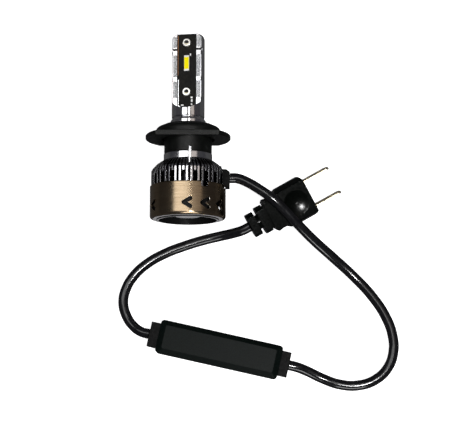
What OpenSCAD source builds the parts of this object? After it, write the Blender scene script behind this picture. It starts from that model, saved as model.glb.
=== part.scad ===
// LED headlight bulb: finned lamp with a fan, twist-on seat collar, inline driver and two-blade plug.
// Frame: origin on the lamp's axis in the seat plane, +Y towards the lamp's tip, +Z up from the table.
// Lamp parts are drawn along +Z and laid down by on_axis(); lamp heights start at the seat plane.

/* [Lamp] */
// Outside diameter of the fan shroud
shroud_d = 33; // [32.4:0.1:34]
// Length of the fan shroud along the lamp
shroud_h = 14.3; // [14:0.1:15]
// Distance from the seat plane down to the shroud's bottom edge
seat_height = 37; // [36.8:0.1:37.4]
// Diameter of the pillar that carries the light boards
pillar_d = 14.4; // [14.2:0.1:14.8]
// Height of the pillar's tip above the seat plane
pillar_tip = 45.2; // [45:0.1:48]
// Thickness of the pillar between its two flats
pillar_t = 7.2; // [6.8:0.1:7.6]
// Turn of the pillar about its own axis from level
pillar_roll = 11; // [0:1:20]
// Width of a light board
board_w = 8.1; // [7.6:0.1:8.3]
// Number of fin pairs round the heat sink
fin_pairs = 20; // [18:1:20]

/* [Seat collar] */
// Diameter of the round rim that centres the lamp in its holder
rim_d = 28.4; // [28:0.1:29]
// Height of the round rim above the seat plane
rim_h = 1.4; // [1:0.1:2]
// Reach of each ear from the lamp's axis
ear_reach = 18.6; // [17.5:0.1:20]
// Thickness of the ear plate
ear_t = 2; // [1.8:0.1:2.4]
// Distance between the two flats that cut the ear plate
flats_w = 25.2; // [22:0.1:26]

/* [Cable] */
// Outside diameter of both cables
cable_d = 4.4; // [4:0.1:4.4]

/* [Driver box] */
// Length of the driver case without its end sleeves
driver_l = 54.2; // [52:0.1:54.2]
// Width of the driver case
driver_w = 14.6; // [14:0.1:18]
// Height of the driver case
driver_h = 10; // [10:0.1:12]

/* [Plug] */
// Width of the plug body
plug_w = 18.5; // [18:0.1:19]
// Thickness of the plug body
plug_t = 11; // [10:0.1:11]
// Distance between the two blades
blade_spacing = 12; // [11:0.1:12.6]
// Width of a blade
blade_w = 6.3; // [4.8:0.1:6.3]
// Thickness of a blade
blade_t = 0.8; // [0.6:0.1:1]
// Length of a blade in front of the plug
blade_l = 13; // [11:0.1:15]

/* [Hidden] */

round_fn = 96;
small_fn = 48;

table_z = -shroud_d / 2;

// Lamp stations along the axis
shroud_bottom = -seat_height;
shroud_top = shroud_bottom + shroud_h;
shroud_t = 1;
shroud_lip_t = 1;
shroud_lip_r = 13.5;
shroud_edge_r = 1.2;
neck_r = 10.6;
neck_bottom = -11.4;
neck_top = -8.5;
spigot_r = 9;
spigot_top = -1.2;
stem_r = 7.7;
stem_bottom = -8;
wire_bore_r = 2.4;
sink_bottom = -27.5;
collar_clearance = 0.06;

// Fins, in degrees round the axis from the middle of a pair
pair_pitch = 360 / fin_pairs;
fin_half = 3.5;
fin_angle = 3;
rib_angle = 3;
rib_bottom = -18;
fin_root_r = 9.5;
gap_root_r = 9.2;
fin_ring_top = -26.2;
fin_inner_r = shroud_d / 2 - shroud_t - 0.2;
fin_outer_r = shroud_d / 2 - 0.5;
first_pair_angle = -86.2;

// Pillar stations
flat_bottom = 11.2;
flat_mill_r = 8;
channel_depth = 1.2;
board_t = 1;
board_bottom = 11.6;
board_top = pillar_tip - 0.4;
chip_z = 31.7;
chip_w = 2.2;
chip_l = 6.9;
chip_t = 0.4;
phosphor_l = 5.3;
phosphor_t = 0.15;
screw_z = [18.8, 40.9];
screw_head_d = 3.9;
screw_head_h = 0.7;
screw_socket_d = 2.1;
board_face = pillar_t / 2 - channel_depth + board_t;
rail_groove_z = 37.9;
rail_pockets = [[16.2, 23.7], [25.5, 35.4], [38.9, 43.6]];
rail_pocket_x = 4.9;
rail_pocket_depth = 0.35;

// Cable exit on the heat sink's side
exit_z = -18.9;
boss_x = 14.7;
grommet_x = 18.2;
grommet_neck_x = 16.4;
cable_bore_r = 1.9;

// Fan stations
fan_bottom = shroud_bottom - 0.5;
fan_top = -28;
fan_ring_r = 13.4;
fan_ring_t = 0.8;
fan_seat_r = 15.3;
hub_r = 6.5;
blade_tip_r = 12.2;
fan_blades = 7;
fan_shaft_r = 0.75;
fan_bearing_r = 1.6;
fan_tube_r = 2.4;
fan_base_z = -29.4;
fan_screw_circle_r = 14.4;
fan_screw_angles = [60, 180, 300];
fan_screw_r = 0.7;
fan_screw_head_r = 1.25;
fan_screw_head_h = 0.6;

// Driver box place
driver_centre = [13.6, -92.7];
driver_angle = -12.6;
driver_split = 5;
driver_wall = 1.2;
driver_board_z = driver_wall + 0.8;
driver_part_z = driver_board_z + 1;
sleeve_l = 4;
sleeve_w = 10.8;
sleeve_h = 7;
driver_axis_z = table_z + 5;

// Plug place: middle of its front face, and its turn about Z and about its own axis
plug_front = [52.9, -24.3];
plug_angle = 29.5;
plug_roll = 16;
plug_axis_z = table_z + 7.5;
plug_l = 20.4;
relief_l = 9.2;

// Routes of the two cables
cable_z = table_z + cable_d / 2;
lamp_cable_route = [
    [18.2, -18.9, 0], [21.5, -19, 0], [26, -20.8, 0.4], [31, -23.9, 1.1], [37, -28.2, 0.9],
    [42.4, -33, -1], [48.2, -38.9, -3.6], [55, -45.2, -7.2], [63.5, -52.2, -11.4],
    [73, -60.6, -14], [81.2, -69.6, cable_z], [86.9, -78.6, cable_z], [89.6, -86.6, cable_z],
    [89.8, -93.6, cable_z], [87.3, -100.4, cable_z], [82, -105.5, cable_z], [74.4, -108.1, cable_z],
    [66.2, -107.7, cable_z], [58.4, -105, cable_z], [52, -102, -13.2], [47.4, -100.3, -11.8],
    [44, -99.5, driver_axis_z]];
plug_cable_route = [
    [-16.8, -85.9, driver_axis_z], [-20.2, -85, -12.1], [-24.2, -82.1, -13.6], [-27.2, -77.6, cable_z],
    [-28.6, -72, cable_z], [-27.6, -66.2, cable_z], [-24, -60, cable_z], [-18, -54.5, cable_z],
    [-10, -50, cable_z], [-2, -46.9, cable_z], [6, -44.4, cable_z], [13.6, -42.6, -13.9],
    [19.6, -41.5, -11.8], [24, -40.4, -9.8], [27.1, -38.9, plug_axis_z]];

function unit(v) = v / norm(v);
function along(path, i) =
    unit(path[min(i + 1, len(path) - 1)] - path[max(i - 1, 0)]);
function ring_side(t, up) = unit(cross(t, up));
function ring_point(centre, t, up, r, a) =
    let (side = ring_side(t, up)) centre + r * (cos(a) * side + sin(a) * cross(side, t));
function arc_points(cx, cy, r, from, to, steps) =
    [for (i = [0:steps]) let (a = from + (to - from) * i / steps) [cx + r * cos(a), cy + r * sin(a)]];

// A round tube through the points of a path
module tube_along(path, d, sides, up = [0, 0, 1]) {
    last = len(path) - 1;
    points = [for (i = [0:last]) for (k = [0:sides - 1])
        ring_point(path[i], along(path, i), up, d / 2, 360 * k / sides)];
    walls = [for (i = [0:last - 1]) for (k = [0:sides - 1])
        let (n = (k + 1) % sides, a = i * sides + k, b = i * sides + n)
            each [[a, b, b + sides], [a, b + sides, a + sides]]];
    start_cap = [[for (k = [sides - 1:-1:0]) k]];
    end_cap = [[for (k = [0:sides - 1]) last * sides + k]];
    polyhedron(points, concat(start_cap, walls, end_cap), convexity = 10);
}

// Lays a part drawn along +Z down on the lamp's axis
module on_axis() {
    rotate([-90, 0, 0]) children();
}

// Turns a part of the pillar with the pillar
module on_pillar() {
    on_axis() rotate([0, 0, -pillar_roll]) children();
}

module ring(outer, inner, from, to, fn = round_fn) {
    translate([0, 0, from]) difference() {
        cylinder(r = outer, h = to - from, $fn = fn);
        translate([0, 0, -1]) cylinder(r = inner, h = to - from + 2, $fn = fn);
    }
}

module block(size, centre) {
    translate(centre) cube(size, center = true);
}

// ---------- pillar and light boards ----------

// Space in front of one flat of the pillar, round at its lower end as a milling cutter leaves it
module flat_space(depth, width, bottom) {
    reach = pillar_d;
    half = width / 2;
    intersection() {
        union() {
            translate([0, -depth, bottom + flat_mill_r]) rotate([90, 0, 0])
                cylinder(r = flat_mill_r, h = reach, $fn = round_fn);
            translate([-flat_mill_r, -depth - reach, bottom + flat_mill_r])
                cube([2 * flat_mill_r, reach, pillar_tip]);
        }
        translate([-half, -depth - reach, 0]) cube([width, reach, pillar_tip + 10]);
    }
}

module rail_cuts() {
    for (side = [-1, 1]) {
        for (span = rail_pockets)
            translate([side * (rail_pocket_x + 3), -pillar_t / 2 - 0.5 + rail_pocket_depth, 0])
                block([6, 1, span[1] - span[0]], [0, 0, (span[0] + span[1]) / 2]);
        block([6, 2.4, 0.9], [side * (board_w / 2 + 0.25 + 3), -pillar_t / 2, rail_groove_z]);
    }
}

module lamp_pillar() {
    r = pillar_d / 2;
    tip_round = 2.4;
    profile = concat(
        [[wire_bore_r, stem_bottom], [stem_r, stem_bottom], [stem_r, 6.2], [7, 7.3], [6.5, 7.3],
            [6.5, 7.7], [r - 0.2, 7.7], [r, 7.9]],
        arc_points(r - tip_round, pillar_tip - tip_round, tip_round, 0, 90, 8),
        [[0, pillar_tip], [0, 9], [wire_bore_r, 9]]);
    color("gainsboro") on_pillar() difference() {
        rotate_extrude($fn = round_fn) polygon(profile);
        for (turn = [0, 180]) rotate([0, 0, turn]) {
            flat_space(pillar_t / 2, pillar_d + 2, flat_bottom);
            flat_space(pillar_t / 2 - channel_depth, board_w + 0.5, flat_bottom);
            rail_cuts();
        }
        block([2.6, pillar_t - 2 * channel_depth + 0.2, 6], [0, 0, 11]);
        for (z = screw_z) translate([0, 0, z]) rotate([90, 0, 0])
            cylinder(r = 0.8, h = pillar_d, center = true, $fn = small_fn);
    }
}

module led_board() {
    round_r = board_w / 2 + 1.2;
    back = board_face - board_t;
    difference() {
        intersection() {
            block([board_w, board_t, board_top - board_bottom],
                [0, -back - board_t / 2, (board_top + board_bottom) / 2]);
            union() {
                translate([0, 0, board_bottom + round_r]) rotate([90, 0, 0])
                    cylinder(r = round_r, h = 10, $fn = round_fn);
                block([board_w, 20, board_top], [0, 0, board_bottom + round_r + board_top / 2]);
            }
        }
        for (z = screw_z) translate([0, 0, z]) rotate([90, 0, 0])
            cylinder(r = 0.8, h = 10, $fn = small_fn);
    }
}

module led_board_front() {
    color("#15140f") on_pillar() led_board();
}

module led_board_back() {
    color("#15140f") on_pillar() rotate([0, 0, 180]) led_board();
}

module led_substrates() {
    color("white") on_pillar() for (turn = [0, 180]) rotate([0, 0, turn])
        block([chip_w, chip_t, chip_l], [0, -board_face - chip_t / 2, chip_z]);
}

module led_phosphors() {
    color("yellow") on_pillar() for (turn = [0, 180]) rotate([0, 0, turn])
        block([chip_w - 0.2, phosphor_t, phosphor_l], [0, -board_face - chip_t - phosphor_t / 2, chip_z]);
}

// Hollow-headed screws that clamp each board to the pillar
module board_screws() {
    color("white") on_pillar() for (turn = [0, 180]) rotate([0, 0, turn]) for (z = screw_z)
        translate([0, -board_face, z]) rotate([90, 0, 0]) difference() {
            union() {
                cylinder(d1 = screw_head_d, d2 = screw_head_d - 0.6, h = screw_head_h, $fn = small_fn);
                translate([0, 0, -board_t - 1.2]) cylinder(r = 0.8, h = board_t + 1.4, $fn = small_fn);
            }
            translate([0, 0, -0.5]) cylinder(d = screw_socket_d - 0.7, h = 3, $fn = small_fn);
            translate([0, 0, 0.1]) cylinder(d = screw_socket_d, h = 3, $fn = small_fn);
        }
}

// Small components and solder pads on both boards
module board_parts() {
    places = [[1.7, 35.4, 0.5, 0.9], [2.3, 16.2, 0.9, 0.7], [2.4, 14.8, 0.7, 1.2], [2.3, 13.2, 0.6, 0.6],
        [-1.9, 12.9, 1.1, 0.6]];
    color("white") on_pillar() for (turn = [0, 180]) rotate([0, 0, turn]) for (p = places)
        block([p[2], 0.3, p[3]], [p[0], -board_face - 0.15, p[1]]);
}

// ---------- heat sink ----------

// Space between two fins, from one angle to another
module fin_gap(from, to, bottom, top) {
    reach = shroud_d / 2 + 2;
    translate([0, 0, bottom]) linear_extrude(top - bottom) polygon([
        gap_root_r * [cos(from), sin(from)], reach * [cos(from), sin(from)],
        reach * [cos(to), sin(to)], gap_root_r * [cos(to), sin(to)]]);
}

module fin_gaps() {
    inner = fin_half - fin_angle / 2;
    outer = fin_half + fin_angle / 2;
    rib = pair_pitch / 2;
    top = neck_bottom - 0.1;
    bottom = fin_ring_top - 0.2;
    for (i = [0:fin_pairs - 1]) rotate([0, 0, first_pair_angle + i * pair_pitch]) {
        fin_gap(-inner, inner, bottom, top);
        fin_gap(outer, pair_pitch - outer, bottom, rib_bottom);
        fin_gap(outer, rib - rib_angle / 2, rib_bottom, top);
        fin_gap(rib + rib_angle / 2, pair_pitch - outer, rib_bottom, top);
    }
}

module heat_sink_body() {
    step = shroud_top + 0.2;
    difference() {
        rotate_extrude($fn = round_fn) polygon([
            [0, sink_bottom], [6.5, sink_bottom], [fin_root_r, -22], [fin_root_r, fin_ring_top],
            [13, fin_ring_top], [13, fan_top], [fin_inner_r, fan_top], [fin_inner_r, step],
            [fin_outer_r, step], [fin_outer_r, -16.2], [15.4, -15.2], [13.7, -13.4], [11.9, -12.1],
            [neck_r, neck_bottom], [neck_r, neck_top - 0.2], [neck_r - 0.2, neck_top],
            [spigot_r, neck_top], [spigot_r, spigot_top - 0.3], [spigot_r - 0.3, spigot_top],
            [0, spigot_top]]);
        fin_gaps();
        // Seat of the rubber ring round the spigot
        ring(spigot_r + 1, spigot_r - 0.8, -5.6, -4.6);
    }
}

module heat_sink() {
    boss_w = 7.4;
    boss_top = -14.2;
    boss_bottom = shroud_top + 0.1;
    clear_w = 8.8;
    color("silver") on_axis() difference() {
        union() {
            heat_sink_body();
            translate([8, -boss_w / 2, boss_bottom]) cube([boss_x - 7.5, boss_w, boss_top - boss_bottom]);
            // Index pointer over the edge of the collar
            block([1, 0.8, 7], [1.2, -10.9, -10.3]);
        }
        block([4, clear_w, 11], [boss_x + 2, 0, exit_z]);
        translate([0, 0, stem_bottom]) cylinder(r = stem_r, h = 20, $fn = round_fn);
        translate([0, 0, sink_bottom - 1]) cylinder(r = wire_bore_r, h = 30, $fn = small_fn);
        translate([0, 0, exit_z]) rotate([0, 90, 0]) cylinder(r = cable_bore_r, h = 20, $fn = small_fn);
        for (a = fan_screw_angles) rotate([0, 0, a]) translate([fan_screw_circle_r, 0, fan_top - 1])
            cylinder(r = fan_screw_r, h = 4, $fn = small_fn);
    }
}

module neck_o_ring() {
    section_r = 0.4;
    color("#1c1c1c") on_axis() translate([0, 0, -5.1]) rotate_extrude($fn = round_fn)
        translate([spigot_r + 0.02 - section_r, 0]) circle(r = section_r, $fn = small_fn);
}

// ---------- seat collar ----------

// Round plate with two flats, so that it reaches past the rim only at the two ears
module ear_plate() {
    corner = 0.4;
    intersection() {
        translate([0, 0, -ear_t]) rotate_extrude($fn = round_fn) polygon([
            [0, 0], [ear_reach - corner, 0], [ear_reach, corner], [ear_reach, ear_t - corner],
            [ear_reach - corner, ear_t], [0, ear_t]]);
        block([2 * ear_reach + 2, flats_w, 3 * ear_t], [0, 0, 0]);
    }
}

module adapter_collar() {
    rim_r = rim_d / 2;
    bore_r = spigot_r + collar_clearance;
    skirt_r = neck_r - 0.2;
    dome_edge = 2.2;
    dome_top = 4.8;
    notch = 1.6;
    profile = concat(
        [[bore_r, neck_top + 0.05], [skirt_r - 0.2, neck_top + 0.05], [skirt_r, neck_top + 0.25],
            [skirt_r, -1], [12, -1], [12, 0], [rim_r, 0], [rim_r, rim_h]],
        arc_points(rim_r - dome_edge, rim_h, dome_edge, 15, 75, 4),
        [[10.8, 4.35], [9.2, dome_top - 0.1], [8.6, dome_top], [8, dome_top],
            [8, spigot_top + 0.4], [bore_r, spigot_top + 0.4]]);
    color("#1a1a1a") on_axis() difference() {
        union() {
            rotate_extrude($fn = round_fn) polygon(profile);
            difference() {
                ear_plate();
                translate([0, 0, -10]) cylinder(r = 11.6, h = 20, $fn = round_fn);
            }
        }
        // Keying notch in the end of one ear
        translate([-ear_reach, 0, 0]) rotate([0, 0, 45]) cube([notch, notch, 20], center = true);
    }
}

// ---------- fan shroud ----------

// One arm of an arrow slot, from its point to its end
module arrow_arm(from, to, w) {
    run = norm(to - from);
    translate(from) rotate([0, 0, atan2(to[1] - from[1], to[0] - from[0])]) {
        translate([0, -w / 2]) square([run, w]);
        circle(d = w, $fn = small_fn);
        translate([run, 0]) circle(d = w, $fn = small_fn);
    }
}

module arrow_slot() {
    w = 1.8;
    for (side = [-1, 1]) arrow_arm([-1.4, 0], [1.4, side * 1.7], w);
}

module rim_notch() {
    w = 3.5;
    depth = 2.3;
    corner = 0.8;
    translate([-w / 2, -depth + corner]) square([w, depth]);
    translate([-w / 2 + corner, -depth]) square([w - 2 * corner, depth]);
    for (x = [-1, 1])
        translate([x * (w / 2 - corner), -depth + corner]) circle(r = corner, $fn = small_fn);
}

// Pushes an outline out through the shroud's wall; angle 0 is the top of the lying lamp
module through_wall(angle, z) {
    rotate([0, 0, angle]) translate([0, -12, z]) rotate([90, 0, 0]) linear_extrude(8) children();
}

// Cone of a fan screw's head
module countersink() {
    cylinder(r1 = fan_screw_head_r, r2 = fan_screw_r, h = fan_screw_head_h, $fn = small_fn);
}

module fan_shroud() {
    r = shroud_d / 2;
    arrow_height = 5;
    arrow_pitch = 28;
    profile = concat(
        [[shroud_lip_r, shroud_bottom]],
        arc_points(r - shroud_edge_r, shroud_bottom + shroud_edge_r, shroud_edge_r, -90, 0, 6),
        [[r, shroud_top - 0.2], [r - 0.2, shroud_top], [r - shroud_t, shroud_top],
            [r - shroud_t, shroud_bottom + shroud_lip_t], [shroud_lip_r, shroud_bottom + shroud_lip_t]]);
    color("#9a8468") on_axis() difference() {
        rotate_extrude($fn = round_fn) polygon(profile);
        for (group = [0:2]) {
            for (k = [0:2])
                through_wall(0.5 + arrow_pitch * k + 120 * group, shroud_bottom + arrow_height)
                    arrow_slot();
            through_wall(28 + 120 * group, shroud_top) rim_notch();
        }
        block([6, 8.8, 3], [r, 0, shroud_top + 0.2]);
        for (a = fan_screw_angles) rotate([0, 0, a]) translate([fan_screw_circle_r, 0, shroud_bottom]) {
            translate([0, 0, -1]) cylinder(r = fan_screw_r, h = 4, $fn = small_fn);
            countersink();
        }
    }
}

// ---------- fan ----------

module fan_frame() {
    foot_z = shroud_bottom + shroud_lip_t;
    post_w = 2.4;
    tube_bottom = -34;
    color("#222222") on_axis() {
        difference() {
            union() {
                ring(fan_ring_r, fan_ring_r - fan_ring_t, fan_bottom, fan_top);
                ring(fan_seat_r, fan_ring_r - 0.1, foot_z, foot_z + 1.2);
                ring(fan_seat_r, fan_ring_r - 0.1, fan_top - 1.2, fan_top);
                for (a = fan_screw_angles) rotate([0, 0, a])
                    block([2.2, post_w, fan_top - foot_z], [14.1, 0, (fan_top + foot_z) / 2]);
            }
            for (a = fan_screw_angles) rotate([0, 0, a])
                translate([fan_screw_circle_r, 0, foot_z - 1])
                    cylinder(r = fan_screw_r, h = 12, $fn = small_fn);
            translate([0, 0, fan_bottom - 1])
                cylinder(r = fan_ring_r - fan_ring_t, h = fan_top - fan_bottom + 2, $fn = round_fn);
        }
        difference() {
            union() {
                translate([0, 0, fan_base_z]) cylinder(r = hub_r, h = 1, $fn = round_fn);
                translate([0, 0, tube_bottom])
                    cylinder(r = fan_tube_r, h = fan_base_z + 0.5 - tube_bottom, $fn = small_fn);
                for (a = [0, 120, 240]) rotate([0, 0, a])
                    block([fan_ring_r - hub_r + 0.6, 1.6, 1],
                        [(fan_ring_r + hub_r) / 2 - 0.6, 0, fan_base_z + 0.5]);
            }
            translate([0, 0, -36]) cylinder(r = fan_bearing_r, h = 6.4, $fn = small_fn);
            // Wire slot in the base plate
            block([3, 1.6, 4], [4, 0, fan_base_z + 0.5]);
        }
    }
}

// Hub cup with its blades, open towards the stator
module fan_rotor() {
    cup_bottom = shroud_bottom + 1.4;
    cup_top = -30.4;
    blade_h = 4.9;
    pitch = 52;
    color("#2b2b2b") on_axis() {
        difference() {
            translate([0, 0, cup_bottom]) cylinder(r = hub_r, h = cup_top - cup_bottom, $fn = round_fn);
            translate([0, 0, cup_bottom + 1]) cylinder(r = hub_r - 0.6, h = 10, $fn = round_fn);
            translate([0, 0, cup_bottom - 1]) cylinder(r = fan_shaft_r, h = 4, $fn = small_fn);
        }
        intersection() {
            ring(blade_tip_r, hub_r - 0.2, cup_bottom + 0.1, cup_bottom + 0.1 + blade_h);
            for (i = [0:fan_blades - 1]) rotate([0, 0, i * 360 / fan_blades])
                translate([hub_r + 3, 0, cup_bottom + blade_h / 2]) rotate([pitch, 0, 0])
                    cube([10, 12, 0.7], center = true);
        }
    }
}

module fan_magnet_ring() {
    color("#4a4a4a") on_axis() ring(hub_r - 0.6, 5, -34.5, -30.6);
}

module fan_shaft() {
    color("silver") on_axis() translate([0, 0, shroud_bottom + 1.4])
        cylinder(r = fan_shaft_r, h = 5.6, $fn = small_fn);
}

module fan_bearing() {
    color("#b08d57") on_axis() ring(fan_bearing_r, fan_shaft_r + 0.03, -34, -29.6, small_fn);
}

module stator_leg(extra, from, to) {
    for (a = [45:90:315]) rotate([0, 0, a])
        block([2.2, 1.1 + extra, to - from], [3.4, 0, (from + to) / 2]);
}

module fan_stator_core() {
    color("#8a8a8a") on_axis() difference() {
        intersection() {
            translate([0, 0, -33]) cylinder(r = 4.7, h = 1.6, $fn = round_fn);
            union() {
                stator_leg(0, -34, -30);
                for (a = [45:90:315]) rotate([0, 0, a]) block([0.6, 4.6, 4], [4.4, 0, -32.2]);
                translate([0, 0, -34]) cylinder(r = 2.9, h = 4, $fn = round_fn);
            }
        }
        translate([0, 0, -36]) cylinder(r = fan_tube_r, h = 10, $fn = small_fn);
    }
}

// Four windings, one round each leg of the stator
module fan_coils() {
    color("#b5651d") on_axis() for (a = [45:90:315]) rotate([0, 0, a]) difference() {
        block([0.9, 2.3, 2.7], [3.55, 0, -32.2]);
        block([2, 1.1, 1.6], [3.55, 0, -32.2]);
    }
}

module fan_circuit_board() {
    color("#1f5a33") on_axis() difference() {
        ring(5.2, fan_tube_r, -30.1, fan_base_z, small_fn);
        block([3, 1.6, 4], [4, 0, fan_base_z]);
    }
}

// Plain disc that closes the middle of the hub
module fan_hub_label() {
    color("#c8c8c8") on_axis() translate([0, 0, shroud_bottom + 1.25])
        cylinder(r = 5.2, h = 0.15, $fn = round_fn);
}

// Countersunk screws through the shroud's lip and the fan frame into the heat sink
module fan_screws() {
    color("#d0d0d0") on_axis() for (a = fan_screw_angles) rotate([0, 0, a])
        translate([fan_screw_circle_r, 0, shroud_bottom]) difference() {
            union() {
                countersink();
                cylinder(r = fan_screw_r, h = 11.4, $fn = small_fn);
            }
            for (turn = [0, 90]) rotate([0, 0, turn]) block([1.5, 0.3, 0.6], [0, 0, 0]);
        }
}

// ---------- grommet and inner leads ----------

module cable_grommet() {
    block_l = grommet_x - grommet_neck_x + 0.2;
    color("#161616") on_axis() difference() {
        union() {
            block([grommet_neck_x - boss_x, 7.2, 6.8], [(grommet_neck_x + boss_x) / 2, 0, -18.9]);
            translate([grommet_neck_x - 0.2, 3.8, 0]) rotate([90, 0, 0]) linear_extrude(7.6)
                polygon([[0, -23.2], [block_l, -23.2], [block_l, -16.7], [0.6, -15.6], [0, -15.6]]);
        }
        translate([0, 0, exit_z]) rotate([0, 90, 0]) cylinder(r = cable_bore_r, h = 40, $fn = small_fn);
    }
}

// Wires run from the cable's end along the bore to the boards, and down to the fan
module board_leads() {
    wire_d = 0.9;
    color("#c02020") on_axis() for (side = [-1, 1]) tube_along([
        [18.1, side * 0.55, exit_z], [8, side * 0.55, exit_z], [2.4, side * 0.6, exit_z],
        [1.2, side * 0.75, exit_z + 1], [0.9, side * 0.85, exit_z + 3], [0.6, side * 0.9, 2],
        [0, side * 0.9, 8.4], [0, side * 1.2, 11.2], [0, side * 1.55, 13]], wire_d, 8, [0, 1, 0.01]);
}

module fan_leads() {
    wire_d = 0.7;
    color("#303030") on_axis() for (side = [-1, 1]) tube_along([
        [17.9, side * 0.45, exit_z - 1.1], [8, side * 0.45, exit_z - 1.1],
        [2.2, side * 0.45, exit_z - 1.1], [1.3, side * 0.5, exit_z - 2],
        [1.2, side * 0.5, exit_z - 4], [1.2, side * 0.5, -26.8],
        [1.5, side * 0.5, -27.6], [2, side * 0.45, -27.95], [3.3, side * 0.4, -27.98],
        [3.9, side * 0.4, -28.3], [4, side * 0.4, -28.9], [4, side * 0.4, fan_base_z + 0.1]],
        wire_d, 8, [0, 1, 0.01]);
}

// ---------- cables ----------

module lamp_cable() {
    color("#101010") tube_along(lamp_cable_route, cable_d, 10);
}

module plug_cable() {
    color("#101010") tube_along(plug_cable_route, cable_d, 10);
}

// ---------- driver box ----------

module at_driver() {
    translate([driver_centre[0], driver_centre[1], table_z]) rotate([0, 0, driver_angle]) children();
}

module rounded_plate(l, w, r, h) {
    for (size = [[l - 2 * r, w], [l, w - 2 * r]])
        translate([-size[0] / 2, -size[1] / 2]) cube([size[0], size[1], h]);
    for (x = [-1, 1]) for (y = [-1, 1])
        translate([x * (l / 2 - r), y * (w / 2 - r)]) cylinder(r = r, h = h, $fn = small_fn);
}

module sleeve_seats() {
    for (side = [-1, 1])
        block([6, sleeve_w - 3, sleeve_h - 2], [side * driver_l / 2, 0, driver_axis_z - table_z]);
}

module driver_base() {
    color("#1b1d1a") at_driver() difference() {
        rounded_plate(driver_l, driver_w, 1.5, driver_split);
        translate([0, 0, driver_wall])
            rounded_plate(driver_l - 2 * driver_wall, driver_w - 2 * driver_wall, 0.8, driver_h);
        sleeve_seats();
    }
}

// Lid with a raised panel inside bevelled edges
module driver_lid() {
    bevel_z = driver_h - 1.6;
    inner_h = driver_h - driver_split - driver_wall;
    color("#1b1d1a") at_driver() difference() {
        union() {
            translate([0, 0, driver_split])
                rounded_plate(driver_l, driver_w, 1.5, bevel_z - driver_split);
            hull() {
                translate([0, 0, bevel_z - 0.1])
                    rounded_plate(driver_l, driver_w, 1.5, 0.1, $fn = 32);
                translate([0, 0, driver_h - 0.1])
                    rounded_plate(driver_l - 5, driver_w - 4.4, 0.8, 0.1, $fn = 32);
            }
        }
        translate([0, 0, driver_split - 0.1])
            rounded_plate(driver_l - 2 * driver_wall, driver_w - 2 * driver_wall, 0.8, inner_h);
        sleeve_seats();
    }
}

// Rubber sleeve in an end of the case, drawn for the end at +X
module driver_sleeve() {
    case_end = driver_l / 2;
    axis = driver_axis_z - table_z;
    difference() {
        union() {
            block([sleeve_l, sleeve_w, sleeve_h], [case_end + sleeve_l / 2, 0, axis]);
            block([driver_wall + 0.1, sleeve_w - 3, sleeve_h - 2], [case_end - driver_wall / 2, 0, axis]);
            block([1, sleeve_w - 1.4, sleeve_h - 0.8], [case_end - driver_wall - 0.5, 0, axis]);
        }
        translate([case_end - 4, 0, axis]) rotate([0, 90, 0])
            cylinder(r = cable_bore_r, h = 20, $fn = small_fn);
    }
}

module driver_sleeve_lamp_side() {
    color("#141414") at_driver() driver_sleeve();
}

module driver_sleeve_plug_side() {
    color("#141414") at_driver() rotate([0, 0, 180]) driver_sleeve();
}

module driver_board() {
    color("#1f5a33") at_driver() translate([0, 0, driver_board_z]) {
        rounded_plate(driver_l - 8, driver_w - 4, 0.5, 1);
        for (x = [-18, 18]) for (y = [-3.5, 3.5]) block([2, 1.6, 0.9], [x, y, -0.35]);
    }
}

module driver_inductor() {
    color("#3a3a3a") at_driver() translate([-8, 0, driver_part_z]) difference() {
        union() {
            cylinder(r = 4, h = 0.8, $fn = small_fn);
            cylinder(r = 2.6, h = 4.4, $fn = small_fn);
            translate([0, 0, 3.6]) cylinder(r = 4, h = 0.8, $fn = small_fn);
        }
        translate([0, 0, 1]) cylinder(r = 1, h = 8, $fn = small_fn);
    }
}

module driver_capacitors() {
    color("#6a6f78") at_driver() for (x = [4, 11])
        translate([x, 0, driver_part_z]) cylinder(d = 5, h = 4.6, $fn = small_fn);
}

module driver_chips() {
    color("#202020") at_driver() {
        block([4.8, 3.8, 1.5], [-17, 1.5, driver_part_z + 0.75]);
        block([3, 2.6, 1.1], [18, -1.8, driver_part_z + 0.55]);
        for (y = [-3.5, 0, 3.5]) block([1.6, 0.9, 0.6], [-2.2, y, driver_part_z + 0.3]);
    }
}

// ---------- plug ----------

// Plug parts are drawn with the front face at x = 0, the blades towards +X and the middle plane at z = 0
module at_plug() {
    translate([plug_front[0], plug_front[1], plug_axis_z]) rotate([0, 0, plug_angle])
        rotate([plug_roll, 0, 0]) children();
}

module plug_outline() {
    half = plug_w / 2;
    side = [[0, half - 1.7], [-0.5, half - 0.5], [-1.7, half], [-12.6, half], [-14, half - 1],
        [-15.6, 7], [-17.4, 6.9], [-19.4, 7.3], [-plug_l, 6.4]];
    other = [for (i = [len(side) - 1:-1:0]) [side[i][0], -side[i][1]]];
    polygon(concat(side, other));
}

module plug_section() {
    half = plug_w / 2;
    flat = 7.6;
    t = plug_t / 2;
    corner = [[flat, t], [flat + 0.4, t - 0.5], [half, 1.6]];
    polygon(concat(
        [for (p = corner) p],
        [for (i = [2:-1:0]) [corner[i][0], -corner[i][1]]],
        [for (p = corner) -p],
        [for (i = [2:-1:0]) [-corner[i][0], corner[i][1]]]));
}

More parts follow.
